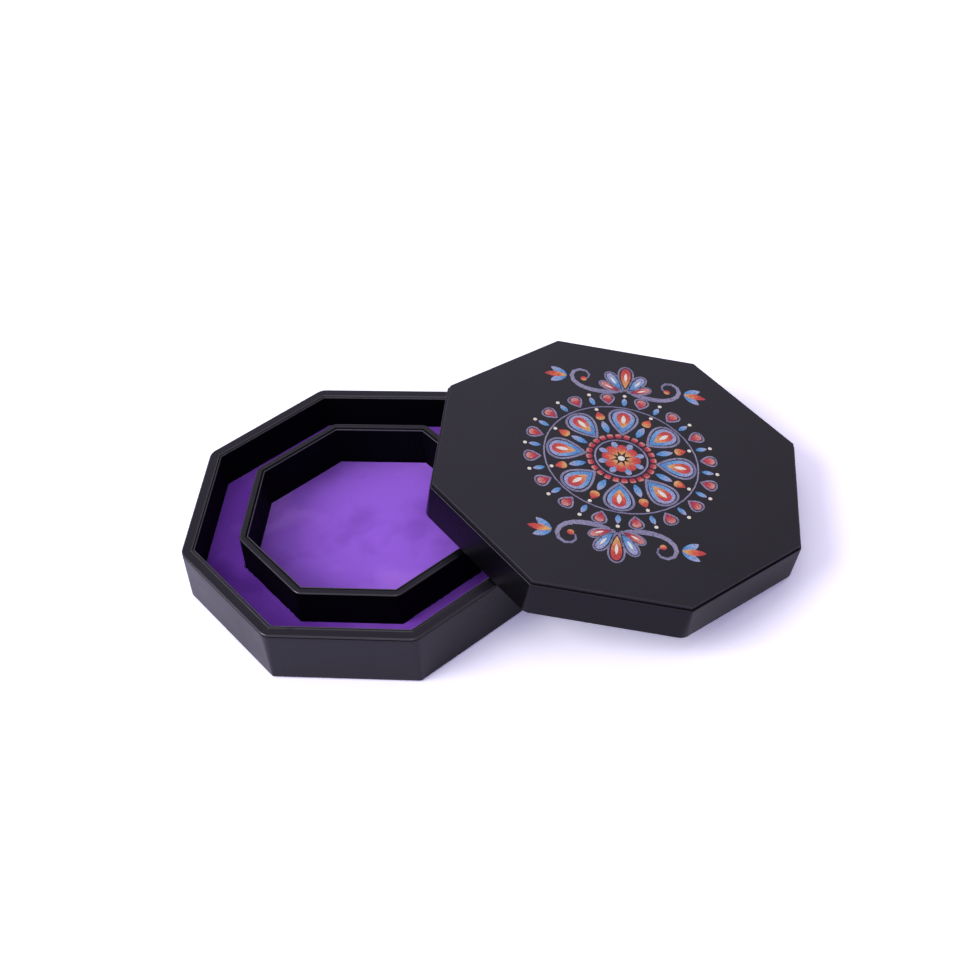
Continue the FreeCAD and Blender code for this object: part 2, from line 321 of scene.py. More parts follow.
@dataclass(frozen=True)
class Ink:
    """Screen-printed ink that runs from one colour to another along each motif.

    Attributes:
        name: what the material is called.
        root: colour at the motif's root.
        middle: colour halfway.
        tip: colour at its tip.
        worn: how far dark flecks bite into the ink, from 0 to 1.
    """

    name: str
    root: Colour
    middle: Colour
    tip: Colour
    worn: float

    def material(self) -> bpy.types.Material:
        """Mix the finish.

        Returns:
            The material.
        """
        mix = Recipe(self.name)
        run = mix.node("ShaderNodeAttribute", attribute_name=RUN).outputs["Fac"]
        feather = mix.spread(mix.cloud(420.0, 3.0, 0.8), (0.25, 0.75), (-0.22, 0.22))
        along = mix.node("ShaderNodeMath", {0: run, 1: feather}, operation="ADD", use_clamp=True)
        paint = mix.blended(along.outputs["Value"], ((0.15, self.root), (0.5, self.middle),
                                                     (0.85, self.tip)))
        flecks = mix.spread(mix.cloud(1500.0, 4.0, 0.4), (0.36, 0.46), (1.0 - self.worn, 1.0))
        worn = mix.node("ShaderNodeVectorMath", {0: paint, "Scale": flecks}, operation="SCALE")
        mix.feed(mix.shader, {
            "Base Color": worn.outputs["Vector"],
            "Roughness": mix.spread(flecks, (0.0, 1.0), (0.6, 0.45)),
            "Specular IOR Level": 0.4,
            "Normal": mix.raised(mix.cloud(2600.0, 2.0), 0.00003, 0.4)})
        return mix.material


@dataclass(frozen=True)
class Pulp:
    """Raw board or card, pressed from fibres.

    Attributes:
        name: what the material is called.
        dark: colour of the darker fibres.
        light: colour of the lighter ones.
        fibres: fibres to the metre.
    """

    name: str
    dark: Colour
    light: Colour
    fibres: float

    def material(self) -> bpy.types.Material:
        """Mix the finish.

        Returns:
            The material.
        """
        mix = Recipe(self.name)
        strands = mix.cloud(self.fibres, 6.0, 1.5)
        mix.feed(mix.shader, {
            "Base Color": mix.blended(strands, ((0.35, self.dark), (0.65, self.light))),
            "Roughness": mix.spread(strands, (0.3, 0.7), (0.8, 0.95)),
            "Normal": mix.raised(strands, 0.0001, 0.5)})
        return mix.material


WALL_SKIN = Leatherette("wall_leatherette", (0.001, 0.001, 0.0013), (0.003, 0.0028, 0.0036),
                        (0.26, 0.34), 0.5, (0.86, 0.8, 1.0), 1700.0, 0.00004)
SKIRT_SKIN = Leatherette("skirt_leatherette", (0.001, 0.001, 0.0013), (0.003, 0.0028, 0.0036),
                         (0.24, 0.32), 0.28, (0.86, 0.8, 1.0), 1700.0, 0.00004)
EDGE_SKIN = Leatherette("rubbed_edge_leatherette", (0.001, 0.001, 0.0013), (0.003, 0.0028, 0.0036),
                        (0.17, 0.24), 0.95, (0.95, 0.92, 1.0), 1700.0, 0.00001)
PANEL_SKIN = Leatherette("panel_leatherette", (0.002, 0.0019, 0.0024), (0.0045, 0.0042, 0.0055),
                         (0.38, 0.46), 0.66, (0.88, 0.84, 1.0), 2300.0, 0.00003)
LINING_SKIN = Leatherette("lining_leatherette", (0.0004, 0.0004, 0.0006), (0.001, 0.0009, 0.0014),
                          (0.6, 0.72), 0.05, (0.8, 0.75, 1.0), 1900.0, 0.00004)
# Painted shade: a duller, darker copy of the leatherette for creases, the top panel's sides and the
# inner wall's inside rounding, so that they show as dark lines.
GROOVE_PAINTED_SHADE_SKIN = Leatherette("groove_painted_shade_leatherette", (0.0004, 0.0004, 0.0006), (0.001, 0.0009, 0.0014),
                          (0.45, 0.55), 0.12, (0.86, 0.8, 1.0), 1900.0, 0.00004)
# Painted highlight: a grey copy of the leatherette that stands in for the light line caught along
# the top of the linings' folded edges.
LINING_EDGE_PAINTED_HIGHLIGHT = Leatherette("lining_edge_painted_highlight", (0.035, 0.034, 0.037), (0.07, 0.068, 0.074),
                       (0.4, 0.5), 0.6, (0.95, 0.92, 1.0), 1900.0, 0.00002)
WELL_VELVET = Velvet("well_velvet_pile", (0.25, 0.088, 0.58), (0.35, 0.138, 0.79),
                     (0.44, 0.19, 0.88), 0.14, (0.62, 0.38, 1.0))
# Painted shade: a darker, duller copy of the well's velvet that stands in for the shade that the
# walls cast into the channel.
CHANNEL_VELVET_PAINTED_SHADE = Velvet("channel_velvet_painted_shade", (0.15, 0.036, 0.4), (0.23, 0.064, 0.58),
                        (0.29, 0.092, 0.66), 0.06, (0.6, 0.3, 1.0))
FIBREBOARD = Pulp("fibreboard", (0.36, 0.25, 0.15), (0.58, 0.44, 0.29), 700.0)
GREY_CARD = Pulp("grey_card", (0.34, 0.32, 0.3), (0.5, 0.48, 0.45), 900.0)


# ---- shapes ------------------------------------------------------------------------------------

@dataclass(frozen=True)
class Outline:
    """A level octagon with rounded corners, one of those that a wall's surface runs through.

    Attributes:
        half: from the middle to each flat.
        height: its level.
        corner: radius of its corners.
        zone: what the surface that leads to it is part of.
    """

    half: float
    height: float
    corner: float
    zone: Zone = Zone.WALL

    def spot(self, corner: int, turn: float) -> Vector:
        """Find the point of the outline that faces one way.

        Args:
            corner: number of the corner that the point rounds.
            turn: direction that the outline faces there, in radians.

        Returns:
            The point.
        """
        reach, middle = (self.half - self.corner) / math.cos(HALF_TURN), (corner + 0.5) * SIDE_TURN
        return Vector((reach * math.cos(middle) + self.corner * math.cos(turn),
                       reach * math.sin(middle) + self.corner * math.sin(turn), self.height))


def rounding(half: float, height: float, radius: float, start: float, end: float,
             corner: float, steps: int = 3, zone: Zone = Zone.WALL) -> list[Outline]:
    """Outlines that follow a rounded edge.

    Args:
        half: from the middle to the centre of the rounding.
        height: level of that centre.
        radius: radius of the rounding.
        start: where it starts, in degrees; 0 points outwards and 90 up.
        end: where it ends.
        corner: corner radius of the octagon where the rounding reaches furthest out.
        steps: outlines after the first.
        zone: what the rounding is part of.

    Returns:
        The outlines in order.
    """
    found = []
    for step in range(steps + 1):
        turn = math.radians(start + (end - start) * step / steps)
        inset = radius * (1 - math.cos(turn))
        found.append(Outline(half + radius * math.cos(turn), height + radius * math.sin(turn),
                             max(corner - inset, SHARPEST), zone))
    return found


def in_order(mesh: bmesh.types.BMesh) -> None:
    """Order edges and faces by their points, because extruding leaves that to chance.

    Args:
        mesh: the mesh.
    """
    mesh.verts.index_update()
    for parts in (mesh.edges, mesh.faces):
        ordered = sorted(parts, key=lambda part: sorted(vert.index for vert in part.verts))
        rank = {part: number for number, part in enumerate(ordered)}
        parts.sort(key=rank.get)


def drawn_over(outlines: Sequence[Outline], closed: bool = True) -> bmesh.types.BMesh:
    """Draw a surface over outlines, from each to the next.

    Args:
        outlines: what the surface runs through.
        closed: whether it returns to the first outline.

    Returns:
        The surface, with its faces outwards.
    """
    mesh = bmesh.new()
    corner_of = mesh.verts.layers.int.new("corner")
    turn_of = mesh.verts.layers.float.new("turn")
    made = bmesh.ops.create_circle(mesh, segments=SIDES * (CORNER_STEPS + 1), radius=1.0)
    for number, vert in enumerate(made["verts"]):
        corner, step = divmod(number, CORNER_STEPS + 1)
        vert[corner_of] = corner
        vert[turn_of] = (corner + step / CORNER_STEPS) * SIDE_TURN
        vert.co = outlines[0].spot(corner, vert[turn_of])
    loop = mesh.edges[:]
    for outline in [*outlines[1:], outlines[0]] if closed else outlines[1:]:
        geometry = bmesh.ops.extrude_edge_only(mesh, edges=loop)["geom"]
        loop = [item for item in geometry if isinstance(item, bmesh.types.BMEdge)]
        for item in geometry:
            if isinstance(item, bmesh.types.BMVert):
                item.co = outline.spot(item[corner_of], item[turn_of])
            elif isinstance(item, bmesh.types.BMFace):
                item.material_index = outline.zone.value
    bmesh.ops.remove_doubles(mesh, verts=mesh.verts, dist=TOUCHING)
    in_order(mesh)
    bmesh.ops.recalc_face_normals(mesh, faces=mesh.faces)
    return mesh


def capped(outlines: Sequence[Outline]) -> bmesh.types.BMesh:
    """Draw a surface over outlines and close its two ends with flat faces.

    Args:
        outlines: what the surface runs through.

    Returns:
        The closed mesh.
    """
    mesh = drawn_over(outlines, closed=False)
    for face in bmesh.ops.holes_fill(mesh, edges=mesh.edges[:])["faces"]:
        face.material_index = Zone.TOP.value
    bmesh.ops.recalc_face_normals(mesh, faces=mesh.faces)
    return mesh


@dataclass(frozen=True)
class WallSkin:
    """Leatherette drawn over an octagonal wall and down its inside.  Heights rise to the open edge.

    Attributes:
        half: from the middle to the outside of a flat.
        inner: from the middle to the inside, where the lining is glued.
        low: level of the closed end.
        high: level of the open edge.
        floor: level where the inside ends.
        turned_in: width turned in over the closed end; 0 where the wall stands on a board.
        crisp: corner radius at the closed end.
        round: corner radius at the open edge.
        base_ease: rounding of the closed end.
        ease: rounding of the open edge, outside.
        inner_ease: rounding of the open edge, inside.
        fold: depth of the creases that the cloth keeps along those two roundings.
        fold_below: where the outer crease starts, is deepest and ends, below its rounding.
        fold_beside: the same for the inner crease, outwards from its rounding.
        hollow: how far the skin sinks between the two edges.
    """

    half: float
    inner: float
    low: float
    high: float
    floor: float
    turned_in: float = 0.0
    crisp: float = 2.4
    round: float = 8.0
    base_ease: float = 0.45
    ease: float = 0.8
    inner_ease: float = 0.45
    fold: float = 0.22
    fold_below: tuple[float, float, float] = (0.95, 0.5, 0.05)
    fold_beside: tuple[float, float, float] = (0.8, 0.5, 0.15)
    hollow: float = 0.12

    def outlines(self) -> list[Outline]:
        """Outlines all round the skin, outside first.

        Returns:
            The outlines in order.
        """
        if self.turned_in:
            skin = [Outline(self.half - self.turned_in, self.low, FOLDED)]
            skin += rounding(self.half - self.base_ease, self.low + self.base_ease, self.base_ease,
                             -90, 0, self.crisp, zone=Zone.BASE_EDGE)
        else:
            skin = [Outline(self.half, self.low, self.crisp)]
        start, end, levels = skin[-1].height, self.high - self.ease, 8
        for level in range(1, levels):
            share = level / levels
            skin.append(Outline(self.half, start + (end - start) * share,
                                self.crisp + (self.round - self.crisp) * share))
        crease = (0.0, self.fold, 0.0)
        zones = (Zone.WALL, Zone.CREASE, Zone.CREASE)
        for depth, below, zone in zip(crease, self.fold_below, zones):
            skin.append(Outline(self.half - depth, end - below, self.round, zone))
        skin += rounding(self.half - self.ease, end, self.ease, 0, 90, self.round, 4,
                         Zone.RIM_EDGE)
        lip = self.inner + self.inner_ease
        middle = (self.half - self.ease + lip + self.fold_beside[0]) / 2
        skin.append(Outline(middle, self.high - self.hollow, (self.round - self.ease) / 2,
                            Zone.TOP))
        zones = (Zone.TOP, Zone.LIP, Zone.LIP)
        for depth, beside, zone in zip(crease, self.fold_beside, zones):
            skin.append(Outline(lip + beside, self.high - depth, FOLDED, zone))
        for turn in (0.0, math.pi / 6, math.pi / 3, math.pi / 2):
            skin.append(Outline(self.inner + self.inner_ease * (1 - math.sin(turn)),
                                self.high - self.inner_ease * (1 - math.cos(turn)), FOLDED,
                                Zone.INNER_EDGE))
        board, top = self.half - SKIN, self.high - SKIN - self.hollow
        skin += [Outline(self.inner, self.floor, FOLDED),
                 Outline(self.inner + SKIN, self.floor, FOLDED),
                 Outline(self.inner + SKIN, top, FOLDED),
                 Outline(board, top, self.round - SKIN),
                 Outline(board, self.low + SKIN if self.turned_in else self.low, FOLDED)]
        if self.turned_in:
            skin.append(Outline(self.half - self.turned_in, self.low + SKIN, FOLDED))
        return skin


@dataclass(frozen=True)
class Strip:
    """Lining glued round the inside of a wall.

    Attributes:
        half: from the middle to the wall that it is glued to.
        low: level of its lower edge.
        high: level of its upper edge.
        thickness: how thick it is.
    """

    half: float
    low: float
    high: float
    thickness: float = LINING

    def outlines(self) -> list[Outline]:
        """Outlines all round the strip.

        Returns:
            The outlines in order.
        """
        ease = self.thickness / 2
        lower = rounding(self.half - ease, self.low + ease, ease, 0, -180, FOLDED, 4)
        upper = rounding(self.half - ease, self.high - ease, ease, 180, 0, FOLDED, 6,
                         Zone.RIM_EDGE)
        return [Outline(line.half, line.height, FOLDED, line.zone) for line in lower + upper]


def octagon_cloth(half: float, hole: float, pitch: float) -> bmesh.types.BMesh:
    """Cut a level octagon out of a grid, so that its surface can be shaped.

    Args:
        half: from the middle to each outer flat.
        hole: the same for the hole; 0 for none.
        pitch: width of a square of the grid.

    Returns:
        The flat cloth.
    """
    mesh = bmesh.new()
    squares = round(2 * half / pitch)
    bmesh.ops.create_grid(mesh, x_segments=squares, y_segments=squares, size=half)
    for side in range(SIDES):
        out = Vector((math.cos(side * SIDE_TURN), math.sin(side * SIDE_TURN), 0))
        cuts = [(half, True)] if side % 2 else []      # the grid ends at the other sides
        if hole:
            cuts.append((hole, False))
        for reach, clear in cuts:
            bmesh.ops.bisect_plane(mesh, geom=mesh.verts[:] + mesh.edges[:] + mesh.faces[:],
                                   plane_co=out * reach, plane_no=out, clear_outer=clear)
    inside = [face for face in mesh.faces if reach_of(face.calc_center_median()) < hole]
    bmesh.ops.delete(mesh, geom=inside, context="FACES")
    return mesh


def reach_of(point: Vector) -> float:
    """How far out a point lies, as the half width of the octagon that it is on."""
    turns = (side * SIDE_TURN for side in range(SIDES))
    return max(point.x * math.cos(turn) + point.y * math.sin(turn) for turn in turns)


def thickened(mesh: bmesh.types.BMesh, thick: float) -> None:
    """Give a flat mesh a body below it.

    Args:
        mesh: the flat mesh, whose faces point up.
        thick: its thickness.
    """
    in_order(mesh)
    made = bmesh.ops.extrude_face_region(mesh, geom=mesh.faces[:])
    lowered = [item for item in made["geom"] if isinstance(item, bmesh.types.BMVert)]
    bmesh.ops.translate(mesh, verts=lowered, vec=(0, 0, -thick))
    in_order(mesh)
    bmesh.ops.recalc_face_normals(mesh, faces=mesh.faces)


def in_scene(name: str, data: bpy.types.ID) -> bpy.types.Object:
    """Put an object at the scene's origin.

    Args:
        name: name of the object.
        data: its mesh, light or camera.

    Returns:
        The object.
    """
    made = bpy.data.objects.new(name, data)
    bpy.context.scene.collection.objects.link(made)
    return made


def as_data(name: str, mesh: bmesh.types.BMesh) -> bpy.types.Mesh:
    """Turn a mesh that is being shaped into an object's data.

    Args:
        name: name of the data.
        mesh: the mesh; it is used up.

    Returns:
        The data.
    """
    data = bpy.data.meshes.new(name)
    mesh.to_mesh(data)
    mesh.free()
    return data


@dataclass(frozen=True)
class Maker:
    """Turns finished meshes into pieces that ride on one body.

    Attributes:
        body: what the pieces ride on.
        place: where that body's own middle stands.
    """

    body: Body
    place: Matrix

    def piece(self, name: str, mesh: bmesh.types.BMesh, material: bpy.types.Material,
              nodes: Iterable[str] = (), smooth: float = 40.0,
              zones: dict[Zone, bpy.types.Material] | None = None) -> bpy.types.Object:
        """Put a mesh in its place as a piece of the object.

        Args:
            name: name of the piece.
            mesh: its mesh in millimetres; it is used up.
            material: its finish.
            nodes: frame nodes that it stands for.
            smooth: edges that turn by less than this, in degrees, are smooth.
            zones: finishes of its zones, where they differ.

        Returns:
            The piece.
        """
        finishes = [material]
        for face in mesh.faces:
            finish = (zones or {}).get(Zone(face.material_index), material)
            if finish not in finishes:
                finishes.append(finish)
            face.material_index = finishes.index(finish)
        bmesh.ops.transform(mesh, verts=mesh.verts, matrix=self.place @ Matrix.Scale(MM, 4))
        data = as_data(name, mesh)
        for finish in finishes:
            data.materials.append(finish)
        data.shade_smooth()
        data.set_sharp_from_angle(angle=math.radians(smooth))
        made = in_scene(name, data)
        weighted = made.modifiers.new("faces_lead", "WEIGHTED_NORMAL")
        weighted.keep_sharp = True
        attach(made, self.body.value)
        if nodes:
            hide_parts(*nodes)
        log.info("%s: %d faces", name, len(data.polygons))
        return made


# ---- sub-assemblies ----------------------------------------------------------------------------

@dataclass(frozen=True)
class VelvetFloor:
    """One of the tray's two velvet floors.

    Attributes:
        name: the part of the tray that it covers.
        rests_on: frame node that carries it; not used.
        velvet: its finish.
        top: level of its pile.
        half: from the middle to its outer edge.
        hole: the same for its hole; 0 for none.
    """

    name: str
    rests_on: str
    velvet: Velvet
    top: float
    half: float
    hole: float = 0.0


@dataclass
class Tray:
    """The tray: wrapped wall, lining, inner wall, velvet floors and underside.

    Attributes:
        across: width over the flats.
        height: level of the rim.
        board: thickness of the wall's boards.
        base_top: level of the base board's top.
        cover: thickness of the sheet under the tray.
        cover_inset: how far its edge stands back.
        cover_corner: radius of its corners.
        turned_in: how far the wrap runs in under the base.
        lining_drop: how far the linings end below the rims.
        ring_across: width of the inner wall over its flats.
        ring_board: thickness of its boards.
        ring_top: level of its rim.
        channel_floor: level of the channel's velvet.
        well_floor: level of the well's velvet.
        velvet: thickness of the velvet.
        velvet_gap: room left round it.
        velvet_ease: rounding of its edges.
        mesh_width: how finely it is divided, to take its waves.
        waves: waves to the millimetre, and height, of the glued cloth's unevenness.
        wave_limit: how high it may rise.
        edge: thickness of the linings' folded edge.
        edge_gap: how far that edge stands off the wall.
        edge_levels: its lower and upper level, down from the rim.
        lap: where the wall cloth's lap starts along the front, and its width.
        lap_thick: thickness of the lap.
        lap_sunk: how far its middle lies below the rim.
        lap_ease: rounding of its edges, as a share of its size.
    """

    across: float = 205.0
    height: float = 37.0
    board: float = 5.0
    base_top: float = 5.7
    cover: float = 0.7
    cover_inset: float = 2.0
    cover_corner: float = 0.6
    turned_in: float = 12.0
    lining_drop: float = 1.0
    ring_across: float = 141.8
    ring_board: float = 2.8
    ring_top: float = 36.6
    channel_floor: float = 12.8
    well_floor: float = 8.8
    velvet: float = 1.1
    velvet_gap: float = 0.3
    velvet_ease: float = 0.35
    mesh_width: float = 1.6
    waves: tuple[tuple[float, float], ...] = ((0.05, 0.12), (0.35, 0.03))
    wave_limit: float = 0.1
    edge: float = 0.6
    edge_gap: float = 0.5
    edge_levels: tuple[float, float] = (1.15, 0.15)
    lap: tuple[float, float] = (-30.9, 5.0)
    lap_thick: float = 0.2
    lap_sunk: float = 0.02
    lap_ease: float = 0.2

    def build(self, maker: Maker, skin: bpy.types.Material, rubbed: bpy.types.Material,
              painted_shade_skin: bpy.types.Material, lining: bpy.types.Material) -> None:
        """Make every piece of the tray.

        Args:
            maker: puts pieces on the tray's body.
            skin: finish of the wrapped walls.
            rubbed: finish of their edges.
            painted_shade_skin: finish of their creases and of the inner wall's rounding into its
                inside, a duller, darker leatherette that paints shade there.
            lining: finish of the lining strips and of the inner wall's sides.
        """
        half, ring = self.across / 2, self.ring_across / 2
        inner, ring_inner = half - 2 * SKIN - self.board, ring - 2 * SKIN - self.ring_board
        wall = WallSkin(half, inner, self.cover, self.height, self.base_top, self.turned_in)
        # Painted shade: the creases below the rim take the duller, darker finish.
        maker.piece("tray_wall_leatherette", drawn_over(wall.outlines()), skin,
                    ["tray_wall_wrap"],
                    zones={Zone.RIM_EDGE: rubbed, Zone.LIP: rubbed, Zone.INNER_EDGE: rubbed,
                           Zone.CREASE: painted_shade_skin})
        # Painted shade: the inner wall's rounding into its inside takes the duller, darker finish.
        edge = WallSkin(ring, ring_inner, self.base_top, self.ring_top, self.base_top, fold=0.0)
        maker.piece("inner_wall_leatherette", drawn_over(edge.outlines()), lining,
                    ["ring_wrap"],
                    zones={Zone.TOP: skin, Zone.RIM_EDGE: rubbed, Zone.LIP: skin,
                           Zone.INNER_EDGE: painted_shade_skin})
        # Painted highlight: the linings' folded edges are grey along their top rounding.
        painted_highlight = LINING_EDGE_PAINTED_HIGHLIGHT.material()
        for name, reach, top, node in (
                ("channel_wall_lining", inner, self.height, "tray_wall_lining"),
                ("well_wall_lining", ring_inner, self.ring_top, "ring_lining")):
            strip = Strip(reach, self.base_top, top - self.lining_drop)
            maker.piece(name, drawn_over(strip.outlines()), lining, [node])
            low, high = self.edge_levels
            fold = Strip(reach - self.edge_gap, top - low, top - high, self.edge)
            maker.piece(f"{name}_edge", drawn_over(fold.outlines()), lining,
                        zones={Zone.RIM_EDGE: painted_highlight})
        inset = LINING + self.velvet_gap
        # Painted shade: the channel is laid in the darker copy of the velvet.
        self.lay_velvet(maker, VelvetFloor("channel", "channel_riser", CHANNEL_VELVET_PAINTED_SHADE,
                                           self.channel_floor, inner - inset,
                                           ring + self.velvet_gap))
        self.lay_velvet(maker, VelvetFloor("well", "well_pad", WELL_VELVET, self.well_floor,
                                           ring_inner - inset))
        self.glue_lap(maker, skin, wall)
        cover = half - self.cover_inset
        sheet = [Outline(cover, level, self.cover_corner) for level in (0.0, self.cover)]
        maker.piece("underside_cover", capped(sheet), skin, ["tray_bottom_cover"])

    def glue_lap(self, maker: Maker, skin: bpy.types.Material, wall: WallSkin) -> None:
        """Lay the short lap where the wall cloth's two ends meet on the front rim.

        Args:
            maker: puts pieces on the tray's body.
            skin: its finish.
            wall: the wall that it lies on.
        """
        lap = bmesh.new()
        bmesh.ops.create_cube(lap, size=1.0)
        bmesh.ops.bevel(lap, geom=lap.edges[:], offset=self.lap_ease, segments=2,
                        profile=0.5, affect="EDGES", material=-1)
        start, width = self.lap
        span = wall.half - wall.inner - wall.ease - wall.inner_ease
        place = Matrix.Translation((start + width / 2, -(wall.inner + wall.inner_ease + span / 2),
                                    self.height - wall.hollow - self.lap_sunk))
        size = Matrix.Diagonal((width, span, self.lap_thick, 1))
        bmesh.ops.transform(lap, verts=lap.verts, matrix=place @ size)
        maker.piece("wall_cloth_lap", lap, skin)

    def lay_velvet(self, maker: Maker, floor: VelvetFloor) -> None:
        """Args:
            maker: puts pieces on the tray's body.
            floor: the floor.
        """
        mesh = octagon_cloth(floor.half, floor.hole, self.mesh_width)
        thickened(mesh, self.velvet)
        rim = [edge for edge in mesh.edges if edge.verts[0].co.z == edge.verts[1].co.z == 0
               and edge.calc_face_angle(0) > 1]
        bmesh.ops.bevel(mesh, geom=rim, offset=self.velvet_ease, segments=3, profile=0.5,
                        affect="EDGES", material=-1)
        for vert in mesh.verts:
            if vert.co.z > -self.velvet / 2:
                wave = sum(noise.noise(vert.co * rate) * rise for rate, rise in self.waves)
                vert.co.z += min(wave, self.wave_limit)
        bmesh.ops.translate(mesh, verts=mesh.verts, vec=(0, 0, floor.top))
        made = maker.piece(f"{floor.name}_velvet_panel", mesh, floor.velvet.material(),
                           [f"{floor.name}_velvet"], smooth=60.0)


@dataclass
class Lid:
    """The slip-over lid: wrapped skirt, linings, and the raised top panel.

    Attributes:
        across: width over the flats.
        skirt: level of the skirt's closed end, up from its mouth.
        board: thickness of the skirt's boards.
        ceiling: level of the hollow's ceiling.
        turned_in: how far the wrap runs in over the closed end.
        lining_drop: how far the lining stands back from the mouth.
        panel_across: width of the top panel over its flats.
        panel_rise: how far the panel stands above the skirt.
        panel_ease: rounding of its upper edge.
        panel_corner: radius of its corners.
        middle: where the middle of the mouth stands, in metres, while the lid leans on the tray.
        turn: how the lid is turned there, as a quaternion.
    """

    across: float = 216.8
    skirt: float = 22.9
    board: float = 2.8
    ceiling: float = 19.4
    turned_in: float = 14.0
    lining_drop: float = 1.0
    panel_across: float = 214.3
    panel_rise: float = 2.5
    panel_ease: float = 0.35
    panel_corner: float = 0.8
    middle: Spot = (0.1458, 0.0276, 0.02237079)
    turn: tuple[float, ...] = (-0.995225, 0.019255, -0.095298, 0.008685)

    def standing(self) -> Matrix:
        """Where the lid stands, from its own frame to the object's, in metres."""
        return Matrix.Translation(self.middle) @ Quaternion(self.turn).to_matrix().to_4x4()

    def build(self, maker: Maker, skin: bpy.types.Material, edge: bpy.types.Material,
              painted_shade_skin: bpy.types.Material, lining: bpy.types.Material,
              panel: bpy.types.Material) -> None:
        """Make every piece of the lid.

        Args:
            maker: puts pieces on the lid's body.
            skin: finish of the wrapped skirt.
            edge: finish of its upper edge.
            painted_shade_skin: finish of the panel's sides, a duller, darker leatherette that
                paints the shade under the panel's edge.
            lining: finish of the hollow.
            panel: finish of the top panel.
        """
        half = self.across / 2
        inner = half - 2 * SKIN - self.board
        wall = WallSkin(half, inner, 0.0, self.skirt, self.skirt - self.ceiling, self.turned_in,
                        fold=0.0)
        mesh = drawn_over(wall.outlines())
        over = Matrix.Translation((0, 0, self.skirt)) @ Matrix.Rotation(math.pi, 4, "X")
        bmesh.ops.transform(mesh, verts=mesh.verts, matrix=over)
        maker.piece("lid_skirt_leatherette", mesh, skin, ["lid_skirt_wrap"],
                    zones={Zone.BASE_EDGE: edge})
        strip = Strip(inner, self.lining_drop, self.ceiling)
        maker.piece("lid_wall_lining", drawn_over(strip.outlines()), lining,
                    ["lid_side_lining"])
        ceiling = [Outline(inner - LINING, self.ceiling - LINING, FOLDED),
                   Outline(inner - LINING, self.ceiling, FOLDED)]
        maker.piece("lid_ceiling_cloth", capped(ceiling), lining,
                    ["lid_ceiling_lining"])
        reach, top = self.panel_across / 2, self.skirt + self.panel_rise
        cap = [Outline(reach - SKIN, top - SKIN, self.panel_corner),
               Outline(reach - SKIN, self.skirt, self.panel_corner),
               Outline(reach, self.skirt, self.panel_corner)]
        cap += rounding(reach - self.panel_ease, top - self.panel_ease, self.panel_ease, 0, 90,
                        self.panel_corner, 4, Zone.RIM_EDGE)
        # Painted shade: the panel's sides take the duller, darker finish, a dark band under its
        # edge.
        maker.piece("lid_top_panel", capped(cap), painted_shade_skin, ["lid_panel_cover"],
                    zones={Zone.TOP: panel, Zone.RIM_EDGE: panel})


# ---- the printed ornament ----------------------------------------------------------------------

class Shape(Enum):
    """How wide a printed motif is along its length, from its root to its tip."""

    BEAD = "round at both ends"
    LEAF = "pointed at both ends"
    PETAL = "pointed root, round tip"
    DROP = "round root, pointed tip"
    STROKE = "a brush stroke that thins towards its tip"
    TILE = "blunt at both ends"

    def share(self, along: float) -> float:
        """Width at a point, as a share of the motif's own width.

        Args:
            along: 0 at the root, 1 at the tip.

        Returns:
            The share, from 0 to 1.
        """
        rest = 1.0 - along
        if self is Shape.LEAF:
            return (4 * along * rest) ** 0.85
        if self is Shape.PETAL:
            return 1.5 * math.sqrt(3 * rest) * along
        if self is Shape.DROP:
            return 1.5 * math.sqrt(3 * along) * rest
        if self is Shape.STROKE:
            return min(1.0, 6 * along) ** 0.5 * rest ** 0.6
        if self is Shape.TILE:
            return (1 - abs(2 * along - 1) ** 5) ** 0.4
        return 2 * math.sqrt(along * rest)

    def points(self) -> tuple[bool, bool]:
        """Whether its root is pointed, and whether its tip is."""
        return self in (Shape.LEAF, Shape.PETAL), self in (Shape.LEAF, Shape.DROP)


class Paint(Enum):
    """Inks of the ornament."""

    LAVENDER = "ornament_lavender"
    SKY = "ornament_sky"
    CORAL = "ornament_coral"
    CRIMSON = "ornament_crimson"
    CREAM = "ornament_cream"


INKS = {
    Paint.SKY: Ink("sky_ink", (0.1, 0.3, 0.66), (0.2, 0.42, 0.76), (0.4, 0.42, 0.66), 0.75),
    Paint.LAVENDER: Ink("lavender_ink", (0.28, 0.26, 0.42), (0.36, 0.34, 0.5), (0.24, 0.23, 0.38),
                        0.8),
    Paint.CORAL: Ink("coral_ink", (0.8, 0.42, 0.16), (0.76, 0.13, 0.07), (0.6, 0.06, 0.07), 0.6),
    Paint.CRIMSON: Ink("crimson_ink", (0.42, 0.03, 0.08), (0.62, 0.07, 0.08), (0.72, 0.3, 0.28),
                       0.7),
    Paint.CREAM: Ink("cream_ink", (0.86, 0.82, 0.72), (0.9, 0.88, 0.84), (0.86, 0.78, 0.6), 0.35),
}


